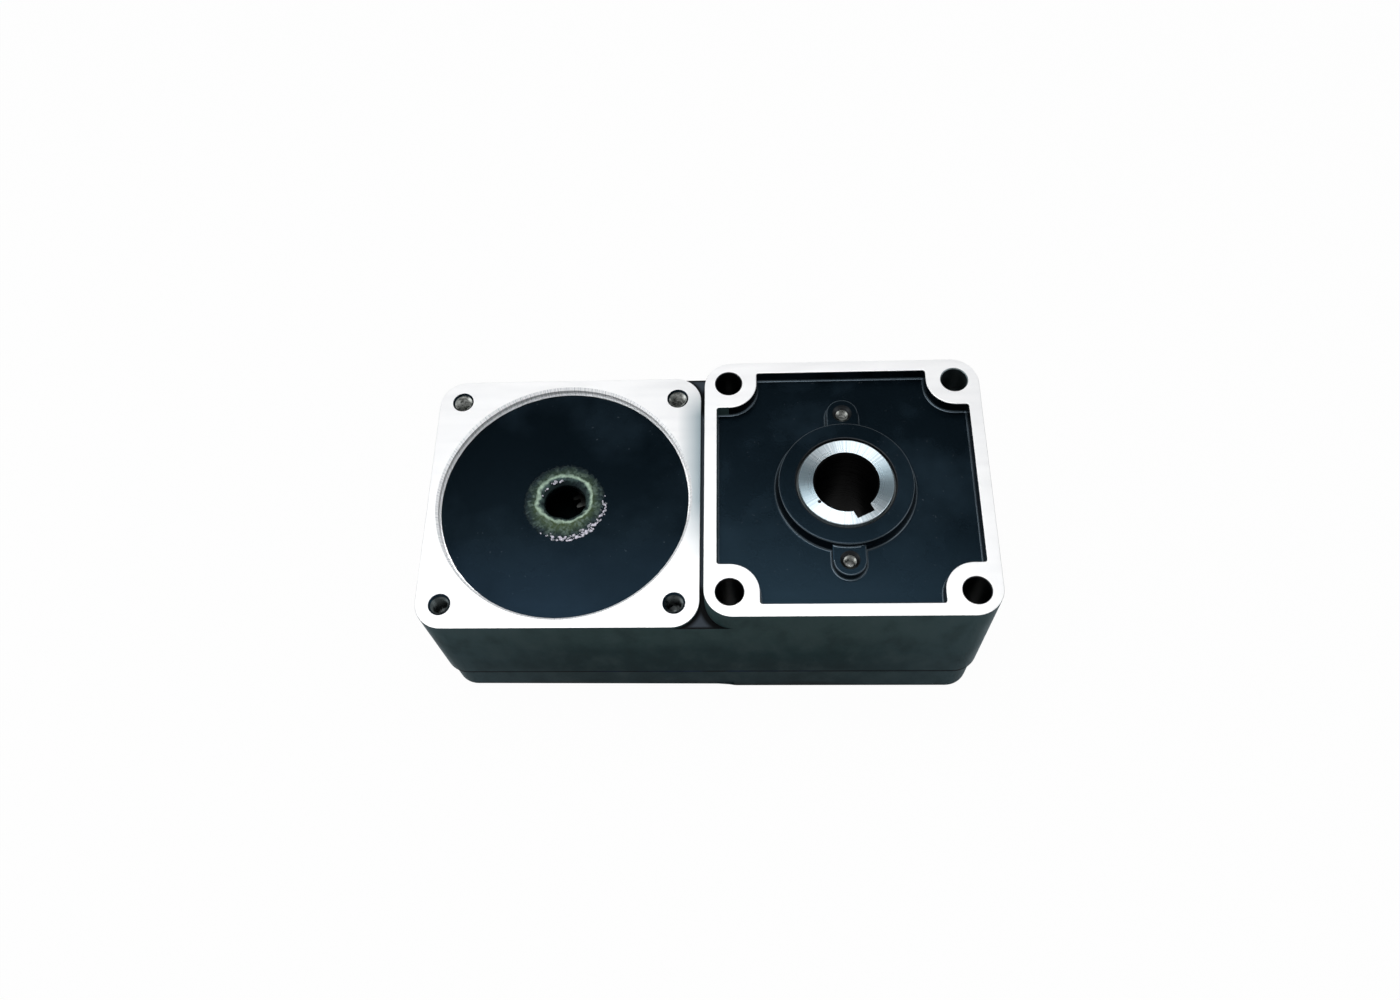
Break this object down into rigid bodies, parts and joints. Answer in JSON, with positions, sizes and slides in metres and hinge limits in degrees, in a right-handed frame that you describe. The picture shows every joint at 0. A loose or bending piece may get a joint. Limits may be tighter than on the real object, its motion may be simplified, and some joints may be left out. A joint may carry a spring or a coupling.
{
  "type": "flat hollow-shaft gearhead",
  "caption": "Flat parallel-shaft gearhead with a hollow keyed output shaft and a square flange for a brushless motor.",
  "frame": {"origin": "output axis at the rear mounting face", "axes": "+Z along the output axis towards the output pad; the motor axis lies on the -X side"},
  "size_m": [0.1815, 0.09, 0.071],
  "materials": {
    "black_paint": "satin paint over die-cast aluminium, with machined pads",
    "gasket": "matt",
    "black_oxide": "black oxide steel",
    "seal_rubber": "satin",
    "bearing_steel": "ground",
    "ball_steel": "polished",
    "cage_brass": "satin",
    "gear_steel": "hobbed",
    "turned_steel": "turned"
  },
  "bodies": {
    "housing": {"gear_case": "black_paint", "rear_cover": "black_paint", "case_gasket": "gasket", "cover_screws": "black_oxide", "dowel_pins": "turned_steel", "front_seal_case": "bearing_steel", "front_seal_lip": "seal_rubber", "rear_seal_case": "bearing_steel", "rear_seal_lip": "seal_rubber", "output_front_outer_ring": "bearing_steel", "output_rear_outer_ring": "bearing_steel", "second_front_outer_ring": "bearing_steel", "second_rear_outer_ring": "bearing_steel", "first_front_outer_ring": "bearing_steel", "first_rear_outer_ring": "bearing_steel"},
    "output_shaft_body": {"output_shaft": "turned_steel", "output_gear": "gear_steel", "output_key": "black_oxide", "output_snap_ring": "black_oxide", "output_front_inner_ring": "bearing_steel", "output_rear_inner_ring": "bearing_steel"},
    "second_shaft_body": {"second_shaft": "gear_steel", "second_gear": "gear_steel", "second_key": "black_oxide", "second_spacer": "turned_steel", "second_front_inner_ring": "bearing_steel", "second_rear_inner_ring": "bearing_steel"},
    "first_shaft_body": {"first_shaft": "gear_steel", "first_gear": "gear_steel", "first_key": "black_oxide", "first_shim": "turned_steel", "first_front_inner_ring": "bearing_steel", "first_rear_inner_ring": "bearing_steel"},
    "output_front_rolling_set": {"output_front_cage": "cage_brass", "output_front_balls": "ball_steel"},
    "output_rear_rolling_set": {"output_rear_cage": "cage_brass", "output_rear_balls": "ball_steel"},
    "second_front_rolling_set": {"second_front_cage": "cage_brass", "second_front_balls": "ball_steel"},
    "second_rear_rolling_set": {"second_rear_cage": "cage_brass", "second_rear_balls": "ball_steel"},
    "first_front_rolling_set": {"first_front_cage": "cage_brass", "first_front_balls": "ball_steel"},
    "first_rear_rolling_set": {"first_rear_cage": "cage_brass", "first_rear_balls": "ball_steel"}
  },
  "joints": [
    {"name": "output_spin", "type": "hinge", "parent": "housing", "child": "output_shaft_body", "pos_m": [0, 0, 0.03], "axis": [0, 0, 1], "continuous": true},
    {"name": "second_spin", "type": "hinge", "parent": "housing", "child": "second_shaft_body", "pos_m": [-0.04783, -0.004, 0.03], "axis": [0, 0, 1], "continuous": true},
    {"name": "first_spin", "type": "hinge", "parent": "housing", "child": "first_shaft_body", "pos_m": [-0.07381, 0.01222, 0.03], "axis": [0, 0, 1], "continuous": true},
    {"name": "output_front_cage_spin", "type": "hinge", "parent": "housing", "child": "output_front_rolling_set", "pos_m": [0, 0, 0.03], "axis": [0, 0, 1], "continuous": true},
    {"name": "output_rear_cage_spin", "type": "hinge", "parent": "housing", "child": "output_rear_rolling_set", "pos_m": [0, 0, 0.03], "axis": [0, 0, 1], "continuous": true},
    {"name": "second_front_cage_spin", "type": "hinge", "parent": "housing", "child": "second_front_rolling_set", "pos_m": [-0.04783, -0.004, 0.03], "axis": [0, 0, 1], "continuous": true},
    {"name": "second_rear_cage_spin", "type": "hinge", "parent": "housing", "child": "second_rear_rolling_set", "pos_m": [-0.04783, -0.004, 0.03], "axis": [0, 0, 1], "continuous": true},
    {"name": "first_front_cage_spin", "type": "hinge", "parent": "housing", "child": "first_front_rolling_set", "pos_m": [-0.07381, 0.01222, 0.03], "axis": [0, 0, 1], "continuous": true},
    {"name": "first_rear_cage_spin", "type": "hinge", "parent": "housing", "child": "first_rear_rolling_set", "pos_m": [-0.07381, 0.01222, 0.03], "axis": [0, 0, 1], "continuous": true}
  ],
  "couplings": [
    {"joint": "second_spin", "follows": "output_spin", "ratio": -3.5714},
    {"joint": "first_spin", "follows": "output_spin", "ratio": 9.8901},
    {"joint": "output_front_cage_spin", "follows": "output_spin", "ratio": 0.43509},
    {"joint": "output_rear_cage_spin", "follows": "output_spin", "ratio": 0.43509},
    {"joint": "second_front_cage_spin", "follows": "output_spin", "ratio": -1.4288},
    {"joint": "second_rear_cage_spin", "follows": "output_spin", "ratio": -1.4288},
    {"joint": "first_front_cage_spin", "follows": "output_spin", "ratio": 3.6274},
    {"joint": "first_rear_cage_spin", "follows": "output_spin", "ratio": 3.6274}
  ]
}
